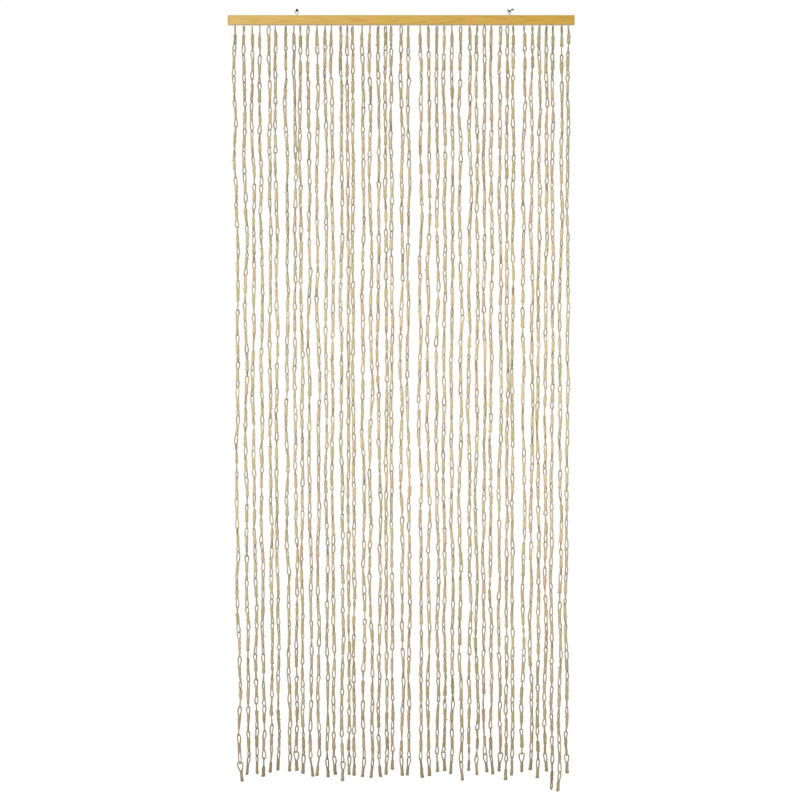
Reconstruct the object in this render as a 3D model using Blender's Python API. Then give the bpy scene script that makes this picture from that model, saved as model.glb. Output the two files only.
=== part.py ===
"""String door curtain: chains of wrapped maize-husk links on a wooden bar that hangs from two wall hooks.

Metres, +Z up. The origin is on the wall plane, level with the hooks' shanks, in the middle of the bar.
+X runs along the bar to the right as seen from the room, and -Y points into the room.
"""

import math
import random

import bmesh
import bpy
from mathutils import Vector

# Wooden bar
BAR_LENGTH = 0.900
BAR_DEPTH = 0.012
BAR_HEIGHT = 0.025
BAR_EDGE = 0.0008
GAP = 0.0003

# Carrier strip in the groove of the bar's underside
STRIP_DEPTH = 0.004
STRIP_HEIGHT = 0.003
STRIP_END = 0.0095

# Screw eyes in the bar's top
EYE_WIRE = 0.0018
EYE_RADIUS = 0.0043
EYE_CENTRE = 0.0085
EYE_NECK = 0.0020
EYE_STEM = 0.0010
EYE_SCREW = 0.010
EYE_OPENING_DEG = 45
EYE_STEP_DEG = 22.5
PILOT_SIDES = 12

# Wall hooks: a U whose rear leg bends at a knee, runs on to a corner and turns back there into the wall
HOOK_WIRE = 0.0024
HOOK_ABOVE_EYE = 0.00165
HOOK_RADIUS = 0.0038
HOOK_ARC_STEPS = 8
HOOK_SPLAY_DEG = 31
HOOK_TIP = 0.0034
HOOK_CORNER = (0.0111, 0.0068)
HOOK_BEND = 0.0020
HOOK_SCREW = 0.010

# Hangers: x of the eye, turns of its ring and of the hook in degrees about +Z, and the hook's knee
HANGERS = {
    "left": {"x": -0.2710, "ring_turn": -8, "hook_turn": 83, "knee": (0.0051, 0.0075)},
    "right": {"x": 0.2810, "ring_turn": -35, "hook_turn": 17, "knee": (0.0060, 0.0053)},
}

# Where the bar hangs
WALL_TO_BAR = 0.014
BAR_Y = -WALL_TO_BAR
BAR_TOP = -(EYE_CENTRE + HOOK_ABOVE_EYE + HOOK_CORNER[1])
BAR_BOTTOM = BAR_TOP - BAR_HEIGHT

# Loose bunches of strands: the gap before each, its pitches, and each strand's extra length, in mm
FIRST_STRAND = -0.431
BUNCHES = (
    {"gap": 0.0, "pitches": (23.4, 20.9, 20.1, 23.4, 16.3), "longer_by": (34, 16, 13, 21, 10, 5)},
    {"gap": 27.5, "pitches": (21.3, 16.3, 20.7, 22.6, 21.1, 16.6), "longer_by": (8, 5, 13, 21, 18, 23, 16)},
    {"gap": 23.6, "pitches": (17.4, 13.6), "longer_by": (31, 16, 18)},
    {"gap": 25.1, "pitches": (20.4, 21.2, 19.1, 14.4), "longer_by": (21, 23, 21, 16, 3)},
    {"gap": 26.1, "pitches": (18.3,), "longer_by": (18, 18)},
    {"gap": 31.0, "pitches": (20.7, 22.9, 18.7, 19.9, 23.0, 23.2), "longer_by": (23, 18, 10, 5, 13, 31, 5)},
    {"gap": 19.5, "pitches": (19.0, 17.8, 23.8, 18.0, 14.7), "longer_by": (16, 10, 16, 8, 29, 18)},
    {"gap": 28.5, "pitches": (21.7, 18.2, 18.3, 16.8, 22.3, 17.5), "longer_by": (10, 3, 23, 8, 57, 57, 13)},
)
STRANDS_ON_LEFT_STRIP = 22

# One strand, from the bar's underside to its tip; one ends in a link cut open
SHORTEST_STRAND = 1.930
THREAD_DROP = 0.0045
LINK_COUNTS = (27, 28, 28, 29)
LINK_JITTER = 0.12
END_LINK = 0.048
CUT_LINK = 0.071
CUT_STRAND = 40
SEED = 73

# How the strands hang: drawn together towards the bottom, each wavering a little
PULL_SHARE = 0.019
PULL_CENTRE = 0.12
SWAYS = (
    {"reach": 0.0021, "waves": 1.7},
    {"reach": 0.0016, "waves": 5.3},
)
STILL_LINKS = 2
JOINT_JITTER = 0.0021
WRAP_OFFSET = 0.0014
TIP_LEAN = 0.14
STRAIGHT_PITCH = 0.010
FREE_PITCH = 0.020

# Sections of a strand
THREAD_WIDTH = 0.0012
THREAD_TAPER = 0.0010
WRAP_WIDTH = 0.0088
JOINT_WIDTH = 0.0046
TIP_WIDTH = 0.0074
WRAP_JITTER = 0.08
SECTION_TURN_DEG = 25


def clear_scene():
    for obj in list(bpy.data.objects):
        bpy.data.objects.remove(obj)


def finish(name, colour, roughness, metallic):
    """A Principled material of one colour."""
    material = bpy.data.materials.new(name)
    material.use_nodes = True
    shader = material.node_tree.nodes["Principled BSDF"]
    shader.inputs["Base Color"].default_value = (*colour, 1.0)
    shader.inputs["Roughness"].default_value = roughness
    shader.inputs["Metallic"].default_value = metallic
    return material


def object_from_mesh(name, mesh, material):
    obj = bpy.data.objects.new(name, mesh)
    bpy.context.scene.collection.objects.link(obj)
    if material:
        mesh.materials.append(material)
    return obj


def box_mesh(name, size, centre):
    mesh = bpy.data.meshes.new(name)
    bm = bmesh.new()
    bmesh.ops.create_cube(bm, size=1.0)
    bmesh.ops.scale(bm, vec=size, verts=bm.verts)
    bmesh.ops.translate(bm, vec=centre, verts=bm.verts)
    bm.to_mesh(mesh)
    bm.free()
    return mesh


def cut(target, name, mesh):
    """Cuts a closed mesh out of the target, and keeps the cutter as a hidden wire."""
    cutter = object_from_mesh(name, mesh, None)
    cutter.hide_render = True
    cutter.display_type = "WIRE"
    cutter.parent = target
    boolean = target.modifiers.new(name, "BOOLEAN")
    boolean.operation = "DIFFERENCE"
    boolean.solver = "EXACT"
    boolean.object = cutter


def build_bar(material):
    """The batten with eased edges, a stopped groove underneath and a pilot hole for each screw eye."""
    centre = (0, BAR_Y, (BAR_TOP + BAR_BOTTOM) / 2)
    mesh = box_mesh("bar", (BAR_LENGTH, BAR_DEPTH, BAR_HEIGHT), centre)
    bar = object_from_mesh("bar", mesh, material)
    bevel = bar.modifiers.new("eased_edges", "BEVEL")
    bevel.width = BAR_EDGE
    bevel.segments = 2
    bevel.limit_method = "ANGLE"

    groove_length = BAR_LENGTH - 2 * STRIP_END + 2 * GAP
    groove_depth = STRIP_HEIGHT + 2 * GAP
    groove_size = (groove_length, STRIP_DEPTH + 2 * GAP, 2 * groove_depth)
    cut(bar, "groove_cutter", box_mesh("groove_cutter", groove_size, (0, BAR_Y, BAR_BOTTOM)))

    for side, hanger in HANGERS.items():
        name = f"pilot_cutter_{side}"
        mesh = bpy.data.meshes.new(name)
        bm = bmesh.new()
        radius = EYE_WIRE / 2 + GAP
        depth = EYE_SCREW + GAP
        bmesh.ops.create_cone(
            bm, cap_ends=True, segments=PILOT_SIDES, radius1=radius, radius2=radius, depth=2 * depth
        )
        stem = turned(hanger["x"], EYE_STEM, 0, hanger["ring_turn"])
        bmesh.ops.translate(bm, vec=stem, verts=bm.verts)
        bm.to_mesh(mesh)
        bm.free()
        cut(bar, name, mesh)
    return bar


def wire(name, points, diameter, material):
    """A bent wire of round section with closed ends."""
    curve = bpy.data.curves.new(name, "CURVE")
    curve.dimensions = "3D"
    curve.bevel_depth = diameter / 2
    curve.bevel_resolution = 2
    curve.use_fill_caps = True
    spline = curve.splines.new("POLY")
    spline.points.add(len(points) - 1)
    for spline_point, place in zip(spline.points, points):
        spline_point.co = (*place, 1.0)
    curve.materials.append(material)
    obj = bpy.data.objects.new(name, curve)
    bpy.context.scene.collection.objects.link(obj)
    return obj


def turned(x, along, height, turn_deg):
    """A point of a bent wire that lies in a vertical plane through x, turned about +Z from the bar's line."""
    turn = math.radians(turn_deg)
    return Vector((x + along * math.cos(turn), BAR_Y + along * math.sin(turn), BAR_TOP + height))


def build_screw_eye(side, hanger, material):
    """A wire that rises out of the bar and curls round into a nearly closed ring."""
    start = -90 + EYE_OPENING_DEG / 2
    steps = round((360 - EYE_OPENING_DEG) / EYE_STEP_DEG)
    path = [(EYE_STEM, -EYE_SCREW), (EYE_STEM, EYE_CENTRE - EYE_RADIUS - EYE_NECK)]
    for step in range(steps + 1):
        angle = math.radians(start + step * EYE_STEP_DEG)
        path.append((EYE_RADIUS * math.cos(angle), EYE_CENTRE + EYE_RADIUS * math.sin(angle)))
    points = [turned(hanger["x"], s, z, hanger["ring_turn"]) for s, z in path]
    return wire(f"screw_eye_{side}", points, EYE_WIRE, material)


def build_wall_hook(side, hanger, material):
    """A U that carries the eye, whose rear leg bends at a knee and then turns back into the wall."""
    front = math.radians(HOOK_SPLAY_DEG)
    knee = Vector(hanger["knee"]) - Vector((0, HOOK_RADIUS))
    corner = Vector(HOOK_CORNER) - Vector((0, HOOK_RADIUS))
    rear = math.acos(HOOK_RADIUS / knee.length) - math.atan2(knee.y, knee.x)
    arm = (corner - knee).normalized()

    tip = Vector((-math.cos(front), -math.sin(front))) * HOOK_RADIUS
    path = [tip + Vector((-math.sin(front), math.cos(front))) * HOOK_TIP]
    for step in range(HOOK_ARC_STEPS + 1):
        angle = math.pi + front + step / HOOK_ARC_STEPS * (math.pi - front - rear)
        path.append(Vector((math.cos(angle), math.sin(angle))) * HOOK_RADIUS)
    leg = Vector((math.sin(rear), math.cos(rear)))
    path += [knee - leg * HOOK_BEND / 2, knee + arm * HOOK_BEND / 2, corner - arm * HOOK_BEND]

    level = EYE_CENTRE + HOOK_ABOVE_EYE + HOOK_RADIUS
    points = [turned(hanger["x"], place.x, level + place.y, hanger["hook_turn"]) for place in path]
    turning = turned(hanger["x"], corner.x, level + corner.y, hanger["hook_turn"])
    points.append(turning + Vector((0, HOOK_BEND, 0)))
    points.append(Vector((turning.x, HOOK_SCREW, turning.z)))
    return wire(f"wall_hook_{side}", points, HOOK_WIRE, material)


def strand_places():
    """The x of each strand at the bar, bunch by bunch."""
    places = []
    x = FIRST_STRAND
    for bunch in BUNCHES:
        x += bunch["gap"] / 1000
        places.append(x)
        for pitch in bunch["pitches"]:
            x += pitch / 1000
            places.append(x)
    return places


def strand_length(number):
    longer_by = [extra for bunch in BUNCHES for extra in bunch["longer_by"]]
    return SHORTEST_STRAND + longer_by[number] / 1000


def strand_plan(number, places):
    """Where one strand's links meet and where their wrappings lie, from the bar down to the tip.

    A strand with a close neighbour wavers less.
    """
    x_top = places[number]
    room = min(abs(x_top - place) for place in places if place != x_top)
    free = min(1.0, (room - STRAIGHT_PITCH) / (FREE_PITCH - STRAIGHT_PITCH))
    rng = random.Random(SEED * 1000 + number)
    links = rng.choice(LINK_COUNTS)
    end_link = CUT_LINK if number == CUT_STRAND else END_LINK
    length = strand_length(number)
    weights = [1 + rng.uniform(-LINK_JITTER, LINK_JITTER) for _ in range(links)]
    phases = [[rng.uniform(0, math.tau) for _ in SWAYS] for _ in range(2)]

    joints = []
    for link in range(links + 1):
        share = sum(weights[:link]) / sum(weights)
        drop = THREAD_DROP + share * (length - end_link - THREAD_DROP)
        place = Vector((x_top + PULL_SHARE * share * (PULL_CENTRE - x_top), BAR_Y, BAR_BOTTOM - drop))
        for axis in range(2):
            sway = rng.uniform(-JOINT_JITTER, JOINT_JITTER)
            for wave, phase in zip(SWAYS, phases[axis]):
                sway += wave["reach"] * math.sin(phase + wave["waves"] * math.tau * share)
            place[axis] += free * sway * min(1.0, link / STILL_LINKS)
        joints.append(place)
    lean = [free * rng.uniform(-TIP_LEAN, TIP_LEAN) for _ in range(2)]
    tip = joints[-1] + Vector((*lean, -1)) * end_link

    wraps = []
    for upper, lower in zip(joints, [*joints[1:], tip]):
        offset = Vector((rng.uniform(-WRAP_OFFSET, WRAP_OFFSET), rng.uniform(-WRAP_OFFSET, WRAP_OFFSET), 0))
        wraps.append(
            {
                "centre": upper.lerp(lower, 0.5 + rng.uniform(-WRAP_JITTER, WRAP_JITTER) / 2) + offset,
                "width": WRAP_WIDTH * (1 + rng.uniform(-WRAP_JITTER, WRAP_JITTER)),
                "turn_deg": rng.uniform(-SECTION_TURN_DEG, SECTION_TURN_DEG),
            }
        )
    return joints, wraps, tip


def section(centre, width, turn_deg=0):
    """Three corners of a strand's section, turned about the strand: two in front and one behind."""
    reach = width / math.sqrt(3)
    corners = []
    for corner_deg in (210, 90, 330):
        angle = math.radians(corner_deg + turn_deg)
        corners.append(centre + Vector((reach * math.cos(angle), reach * math.sin(angle), 0)))
    return corners


def strand_sections(number, places):
    """Sections from the thread down: narrow where links meet, wide round each link's wrapping."""
    joints, wraps, tip = strand_plan(number, places)
    sections = [section(Vector((places[number], BAR_Y, BAR_BOTTOM - THREAD_TAPER)), THREAD_WIDTH)]
    for joint, wrap in zip(joints, wraps):
        sections.append(section(joint, JOINT_WIDTH))
        sections.append(section(wrap["centre"], wrap["width"], wrap["turn_deg"]))
    sections.append(section(tip, TIP_WIDTH, wraps[-1]["turn_deg"]))
    return sections


def build_strands(name, places, numbers, low, high, material):
    """A carrier strip from low to high, with the numbered strands drawn down out of its underside."""
    front = BAR_Y - STRIP_DEPTH / 2
    back = BAR_Y + STRIP_DEPTH / 2
    under = BAR_BOTTOM + GAP
    top = under + STRIP_HEIGHT
    half = THREAD_WIDTH / 2

    bm = bmesh.new()
    top_corners = [bm.verts.new(p) for p in ((low, front, top), (high, front, top))]
    top_corners += [bm.verts.new(p) for p in ((high, back, top), (low, back, top))]
    front_edge = [bm.verts.new((low, front, under))]
    back_edge = [bm.verts.new((low, back, under))]
    for x in (places[number] for number in numbers):
        front_edge += [bm.verts.new((x - half, front, under)), bm.verts.new((x + half, front, under))]
        back_edge.append(bm.verts.new((x, back, under)))
    front_edge.append(bm.verts.new((high, front, under)))
    back_edge.append(bm.verts.new((high, back, under)))

    bm.faces.new(top_corners)
    bm.faces.new([top_corners[0], *front_edge, top_corners[1]])
    bm.faces.new([top_corners[2], *reversed(back_edge), top_corners[3]])
    bm.faces.new([top_corners[1], front_edge[-1], back_edge[-1], top_corners[2]])
    bm.faces.new([top_corners[3], back_edge[0], front_edge[0], top_corners[0]])
    for step in range(len(back_edge) - 1):
        a, b = front_edge[2 * step], front_edge[2 * step + 1]
        bm.faces.new([a, back_edge[step], back_edge[step + 1], b])
    for root, number in enumerate(numbers):
        a, b = front_edge[2 * root + 1], front_edge[2 * root + 2]
        end = bm.faces.new([a, back_edge[root + 1], b])
        for corners in strand_sections(number, places):
            end = bmesh.ops.extrude_discrete_faces(bm, faces=[end])["faces"][0]
            for vert, corner in zip(end.verts, corners):
                vert.co = corner
    bmesh.ops.triangulate(bm, faces=bm.faces, ngon_method="EAR_CLIP")

    mesh = bpy.data.meshes.new(name)
    bm.to_mesh(mesh)
    bm.free()
    return object_from_mesh(name, mesh, material)


def main():
    clear_scene()
    wood = finish("varnished_pine", (0.66, 0.42, 0.13), 0.45, 0.0)
    husk = finish("maize_husk", (0.55, 0.43, 0.22), 0.8, 0.0)
    zinc = finish("zinc_wire", (0.62, 0.62, 0.60), 0.35, 1.0)
    black = finish("black_wire", (0.03, 0.03, 0.03), 0.45, 0.6)

    build_bar(wood)
    for side, hanger in HANGERS.items():
        build_screw_eye(side, hanger, zinc)
        build_wall_hook(side, hanger, black)

    places = strand_places()
    left = range(STRANDS_ON_LEFT_STRIP)
    right = range(STRANDS_ON_LEFT_STRIP, len(places))
    split = (places[left[-1]] + places[right[0]]) / 2
    strip_reach = BAR_LENGTH / 2 - STRIP_END
    build_strands("strands_left", places, left, -strip_reach, split - GAP / 2, husk)
    build_strands("strands_right", places, right, split + GAP / 2, strip_reach, husk)


main()
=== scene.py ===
import math
import random

import bmesh
import bpy
import numpy as np
from mathutils import Matrix, Vector


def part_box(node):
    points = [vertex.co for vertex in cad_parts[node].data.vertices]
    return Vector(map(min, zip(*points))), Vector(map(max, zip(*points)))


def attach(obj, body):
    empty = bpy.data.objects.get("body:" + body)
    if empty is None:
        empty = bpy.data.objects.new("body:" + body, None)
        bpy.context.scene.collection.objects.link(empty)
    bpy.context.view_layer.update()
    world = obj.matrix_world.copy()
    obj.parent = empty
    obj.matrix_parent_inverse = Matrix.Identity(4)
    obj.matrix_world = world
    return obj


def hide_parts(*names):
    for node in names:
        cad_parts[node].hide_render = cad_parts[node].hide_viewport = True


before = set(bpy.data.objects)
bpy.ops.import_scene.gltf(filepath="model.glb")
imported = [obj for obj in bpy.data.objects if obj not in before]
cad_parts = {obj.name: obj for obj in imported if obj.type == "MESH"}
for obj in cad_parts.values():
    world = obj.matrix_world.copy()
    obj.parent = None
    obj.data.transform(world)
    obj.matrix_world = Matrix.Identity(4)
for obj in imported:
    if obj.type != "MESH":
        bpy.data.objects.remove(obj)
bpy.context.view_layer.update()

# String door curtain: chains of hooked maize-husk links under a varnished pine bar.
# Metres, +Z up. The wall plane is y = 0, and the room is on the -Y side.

MM = 0.001

# The bar, as the frame gives it
BAR_LOW, BAR_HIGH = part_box("bar")
BAR_Y = (BAR_LOW.y + BAR_HIGH.y) / 2
BAR_TOP = BAR_HIGH.z
BAR_BOTTOM = BAR_LOW.z

# The picture: how much of the curtain's plane it shows, from how far, and where it is centred
VIEW_WIDTH = 2.0764
VIEW_DISTANCE = 4.6
VIEW_X = -0.003
VIEW_BELOW_BAR_TOP = 0.9981
FLOOR_Z = -2.6
FLOOR_REACH = 60.0

# Soft studio light
ROOM_LIGHT = 0.86
SUN_STRENGTH = 1.7
SUN_SOFTNESS_DEG = 28
SUN_HEIGHT_DEG = 48
SUN_SIDE_DEG = -28

# Loose bunches of strands: the gap before each, its pitches, and each strand's extra length, in mm
FIRST_STRAND = -0.431
BUNCHES = (
    {"gap": 0.0, "pitches": (23.4, 20.9, 20.1, 23.4, 16.3), "longer_by": (34, 16, 13, 21, 10, 5)},
    {"gap": 27.5, "pitches": (21.3, 16.3, 20.7, 22.6, 21.1, 16.6), "longer_by": (8, 5, 13, 21, 18, 23, 16)},
    {"gap": 23.6, "pitches": (17.4, 13.6), "longer_by": (31, 16, 18)},
    {"gap": 25.1, "pitches": (20.4, 21.2, 19.1, 14.4), "longer_by": (21, 23, 21, 16, 3)},
    {"gap": 26.1, "pitches": (18.3,), "longer_by": (18, 18)},
    {"gap": 31.0, "pitches": (20.7, 22.9, 18.7, 19.9, 23.0, 23.2), "longer_by": (23, 18, 10, 5, 13, 31, 5)},
    {"gap": 19.5, "pitches": (19.0, 17.8, 23.8, 18.0, 14.7), "longer_by": (16, 10, 16, 8, 29, 18)},
    {"gap": 28.5, "pitches": (21.7, 18.2, 18.3, 16.8, 22.3, 17.5), "longer_by": (10, 3, 23, 8, 57, 57, 13)},
)
STRANDS_ON_LEFT_STRIP = 22

# One strand, from the bar's underside to its tip; two end unlike the rest
SHORTEST_STRAND = 1.930
THREAD_DROP = 0.0045
LINK_COUNTS = (27, 28, 28, 29)
LINK_JITTER = 0.12
END_LINK = 0.048
CUT_LINK = 0.071
CUT_STRAND = 40
FRAYED_STRAND = 41
SEED = 73

# How the strands hang: drawn together towards the bottom, each wavering a little
PULL_SHARE = 0.019
PULL_CENTRE = 0.12
SWAYS = (
    {"reach": 0.0021, "waves": 1.7},
    {"reach": 0.0016, "waves": 5.3},
)
STILL_LINKS = 2
JOINT_JITTER = 0.0021
WRAP_OFFSET = 0.0014
TIP_LEAN = 0.14
STRAIGHT_PITCH = 0.010
FREE_PITCH = 0.020
WRAP_WIDTH = 0.0088
WRAP_JITTER = 0.08
SECTION_TURN_DEG = 25

# How colour changes from link to link and runs down a strand
MEAN_HUE = 0.45
HUE_SPREAD = 0.17
STRAND_HUE_SPREAD = 0.08
MEAN_SHADE = 1.02
SHADE_SPREAD = 0.05
PALEST_DEPTH = 0.42
SHADE_FALL = 1.66
MOST_BROWNED = 0.75
KNOT_DARKENING = 0.85
TIP_DARKENING = (0.2, 0.75)
TIP_DARKER_FROM = 0.86

# Forms of a link, in mm: eyes of twisted husk cord on both sides of a wound wrapping
CORD_RADIUS = 1.75
CORD_SIDES = 6
CORD_THICKER = (0.84, 1.1)
CORD_LUMPS = 0.1
EYE_DRAWN = 25.0
EYE_IN_WRAP = 2.0
EYE_LEG_APART = 2.1
EYE_HALF_WIDTHS = (3.5, 4.9)
EYE_RISES = (6.0, 10.5)
WIDE_EYE_RISES = (3.6, 5.0)
EYE_WIDER = (0.84, 1.12)
EYE_HIGHER = (0.88, 1.12)
EYE_SKEW = (0.5, 1.5)
EYE_TWIST = 0.8
EYE_LEAN = 1.2
EYE_FORMS = 14
WRAP_SIDES = 8
WRAP_DRAWN = 26.0
WRAP_DEPTH_SHARE = 0.9
WRAP_THICKER = (0.92, 1.07)
WRAP_LUMPS = 0.09
WRAP_DRIFT = 0.6
WRAP_FORMS = 10
WRAP_LENGTHS = (24.0, 33.0)
SLEEVE_LENGTHS = (25.0, 31.0)
SLEEVE_FORMS = 4
FIBRE_FORMS = 4
KNOT_FORMS = 4
JOINT_SKEW_DEG = 45
FIRST_TURN_SPREAD = 0.55
WIDE_EYE_TURN = 0.2
CUT_EYE = 21.0
FRAYED_ABOVE_TIP = 9.0
STUBS_ON_A_WRAP = ((), (), ("fibres",), ("fibres",), ("fibres", "fibres"), ("knots",))
STUBS_HIGH = (0.04, 0.2)
STUBS_LOW = (0.75, 0.97)
STUB_SEAT = 0.38
STUB_SWING = 0.9
WIDE_LAST_EYES = {0: 7.4, 7: 6.6, 13: 5.6, 26: 5.2, 31: 5.4, 33: 6.2, 36: 6.4, 42: 5.4}

# Profiles of a wrapping: share of its length from the top, and share of its half width
WRAP_PROFILES = (
    (
        *((0.0, 0.80), (0.04, 0.96), (0.20, 1.02), (0.42, 0.98)),
        *((0.60, 1.00), (0.80, 1.04), (0.96, 0.97), (1.0, 0.80)),
    ),
    (
        *((0.0, 0.82), (0.04, 1.02), (0.20, 1.08), (0.40, 1.04)),
        *((0.58, 0.98), (0.78, 0.92), (0.96, 0.88), (1.0, 0.76)),
    ),
    (
        *((0.0, 0.76), (0.05, 0.88), (0.22, 0.92), (0.42, 0.97)),
        *((0.62, 1.04), (0.82, 1.10), (0.96, 1.04), (1.0, 0.82)),
    ),
    (
        *((0.0, 0.82), (0.04, 0.99), (0.18, 1.06), (0.38, 0.96)),
        *((0.54, 0.92), (0.76, 1.02), (0.96, 0.98), (1.0, 0.80)),
    ),
)
SLEEVE_PROFILE = (
    *((0.0, 0.66), (0.05, 0.86), (0.25, 0.90), (0.50, 0.95)),
    *((0.74, 1.00), (0.93, 1.06), (0.985, 1.00), (1.0, 0.78)),
)

# Screw eyes and wall hooks, with the knee of each hook's rear leg
EYE_WIRE = 0.0018
EYE_RADIUS = 0.0043
EYE_CENTRE = 0.0085
EYE_NECK = 0.0020
EYE_STEM = 0.0010
EYE_SCREW = 0.010
EYE_OPENING_DEG = 45
HOOK_ABOVE_EYE = 0.00165
HOOK_RADIUS = 0.0038
HOOK_SPLAY_DEG = 31
HOOK_TIP = 0.0041
HOOK_CORNER = (0.0111, 0.0068)
HOOK_BEND = 0.0020
HOOK_SCREW = 0.010
COATED_WIRE = 0.0028
BARE_WIRE = 0.0019
SCREW_PITCH = 0.0010
SCREW_START = 0.0005
WIRE_SIDES = 14
HANGERS = {
    "left": {"x": -0.2710, "ring_turn": -8, "hook_turn": 80, "knee": (0.0051, 0.0076)},
    "right": {"x": 0.2810, "ring_turn": -35, "hook_turn": 17, "knee": (0.0060, 0.0059)},
}


def seen(red, green, blue):
    """The linear colour of one named as a screen shows it, 0 to 255."""
    shares = [value / 255 for value in (red, green, blue)]
    return [s / 12.92 if s <= 0.04045 else ((s + 0.055) / 1.055) ** 2.4 for s in shares]


# Colours
HUSK_TONES = (
    {"at": 0.00, "colour": seen(184, 180, 127)},
    {"at": 0.30, "colour": seen(200, 188, 141)},
    {"at": 0.55, "colour": seen(209, 191, 149)},
    {"at": 0.80, "colour": seen(211, 182, 148)},
    {"at": 1.00, "colour": seen(205, 168, 135)},
)
# A brown for painted shade in the cord's groove, under each lap of a wrapping and in the tape's weave, and
# for the husk's own dark blotches.
HUSK_SHADE_AND_BLOTCH = seen(120, 98, 62)
CORD_BROWN = seen(150, 128, 94)
# Dark brown for the lowest part of a sleeve and for the knots.
DARK_TIP_BROWN = seen(92, 82, 64)
PINE_LEFT = seen(204, 174, 100)
PINE_RIGHT = seen(184, 146, 41)
PINE_GRAIN_LEFT = seen(190, 154, 76)
PINE_GRAIN_RIGHT = seen(170, 126, 22)
PINE_OCHRE = seen(190, 160, 46)
PINE_AMBER = seen(202, 146, 66)
# Brown-grey for painted shade on the bar's eased edges and near its ends.
PINE_EDGE_SHADE = seen(156, 134, 88)
TAPE = seen(222, 212, 184)
ZINC = seen(135, 132, 126)
ZINC_RUBBED = seen(106, 104, 100)
BLACK = seen(13, 12, 12)
BLACK_RUBBED = seen(28, 27, 26)
FLOOR_WHITE = seen(232, 232, 232)


# Nodes

def add(tree, kind, inputs=None, **settings):
    """Adds a node. A setting is one of the node's own, and an input is a value or another node's socket."""
    node = tree.nodes.new(kind)
    for name, value in settings.items():
        setattr(node, name, value)
    for name, value in (inputs or {}).items():
        socket = node.inputs[name]
        if isinstance(value, bpy.types.NodeSocket):
            tree.links.new(value, socket)
        else:
            socket.default_value = value
    return node


def maths(tree, operation, first, second=0.0):
    return add(tree, "ShaderNodeMath", {0: first, 1: second}, operation=operation).outputs[0]


def between(tree, value, low, high, new_low, new_high):
    """Maps a value from one range to another, and holds it at the ends."""
    inputs = {"Value": value, "From Min": low, "From Max": high, "To Min": new_low, "To Max": new_high}
    return add(tree, "ShaderNodeMapRange", inputs).outputs["Result"]


def mixed(tree, share, first, second, blend="MIX"):
    """Mixes two colours. Each is a socket or three linear values."""
    node = add(tree, "ShaderNodeMix", {"Factor": share}, data_type="RGBA", blend_type=blend)
    for socket, colour in zip((node.inputs[6], node.inputs[7]), (first, second)):
        if isinstance(colour, bpy.types.NodeSocket):
            tree.links.new(colour, socket)
        else:
            socket.default_value = (*colour, 1.0)
    return node.outputs[2]


def scaled(tree, vector, scale):
    return add(tree, "ShaderNodeVectorMath", {0: vector, 1: scale}, operation="MULTIPLY").outputs[0]


def noise_of(tree, vector, scale, detail, roughness=0.55):
    inputs = {"Vector": vector, "Scale": scale, "Detail": detail, "Roughness": roughness}
    return add(tree, "ShaderNodeTexNoise", inputs).outputs["Fac"]


def new_group(name, inputs, outputs):
    """A node group with named sockets; gives its tree, its input node and its output node."""
    tree = bpy.data.node_groups.new(name, "ShaderNodeTree")
    for socket_name, kind in inputs:
        tree.interface.new_socket(socket_name, in_out="INPUT", socket_type=kind)
    for socket_name, kind in outputs:
        tree.interface.new_socket(socket_name, in_out="OUTPUT", socket_type=kind)
    return tree, add(tree, "NodeGroupInput"), add(tree, "NodeGroupOutput")


def place_group(tree, group, inputs):
    return add(tree, "ShaderNodeGroup", inputs, node_tree=group)


def new_material(name, **sockets):
    """A Principled material with its constant values; gives the material, its tree and its shader."""
    material = bpy.data.materials.new(name)
    material.use_nodes = True
    tree = material.node_tree
    shader = tree.nodes["Principled BSDF"]
    for socket_name, value in sockets.items():
        shader.inputs[socket_name.replace("_", " ")].default_value = value
    return material, tree, shader


def bumped(tree, shader, height, distance):
    bump = add(tree, "ShaderNodeBump", {"Height": height, "Distance": distance, "Strength": 1.0})
    tree.links.new(bump.outputs["Normal"], shader.inputs["Normal"])


# Shared effects

def build_husk_group():
    """Dry husk: a tone for each piece, patches along it, and fine veins that run the way the scale says."""
    inputs = (
        ("Fibre", "NodeSocketVector"),
        ("Tone", "NodeSocketColor"),
        ("Vein Scale", "NodeSocketVector"),
        ("Painted Shade And Blotches", "NodeSocketFloat"),
    )
    outputs = (
        ("Color", "NodeSocketColor"),
        ("Height", "NodeSocketFloat"),
        ("Roughness", "NodeSocketFloat"),
    )
    group, start, end = new_group("dry_husk", inputs, outputs)
    fibre = start.outputs["Fibre"]
    tone = add(group, "ShaderNodeSeparateColor", {"Color": start.outputs["Tone"]})
    hue = tone.outputs["Red"]
    shade = tone.outputs["Green"]

    veins = noise_of(group, scaled(group, fibre, start.outputs["Vein Scale"]), 1.0, 4.0, 0.62)
    patches = noise_of(group, scaled(group, fibre, (0.9, 0.9, 0.16)), 1.0, 2.0)
    wander = maths(group, "MULTIPLY", maths(group, "SUBTRACT", patches, 0.5), 0.6)
    ramp = add(group, "ShaderNodeValToRGB", {"Fac": maths(group, "ADD", hue, wander)})
    stops = ramp.color_ramp.elements
    while len(stops) < len(HUSK_TONES):
        stops.new(1.0)
    for stop, tone_stop in zip(stops, HUSK_TONES):
        stop.position = tone_stop["at"]
        stop.color = (*tone_stop["colour"], 1.0)

    light = maths(group, "MULTIPLY", between(group, veins, 0.32, 0.68, 0.84, 1.08), shade)
    green = maths(group, "POWER", light, 1.05)
    blue = maths(group, "POWER", light, 1.2)
    golden = {"Red": light, "Green": green, "Blue": blue}
    veil = add(group, "ShaderNodeCombineColor", golden).outputs["Color"]
    colour = mixed(group, 1.0, ramp.outputs["Color"], veil, blend="MULTIPLY")
    # Mixes painted shade and dark blotches in towards one brown.
    colour = mixed(group, maths(group, "MULTIPLY", start.outputs["Painted Shade And Blotches"], 0.6), colour, HUSK_SHADE_AND_BLOTCH)
    group.links.new(colour, end.inputs["Color"])
    group.links.new(veins, end.inputs["Height"])
    group.links.new(between(group, veins, 0.3, 0.7, 0.78, 0.56), end.inputs["Roughness"])
    return group


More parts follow.
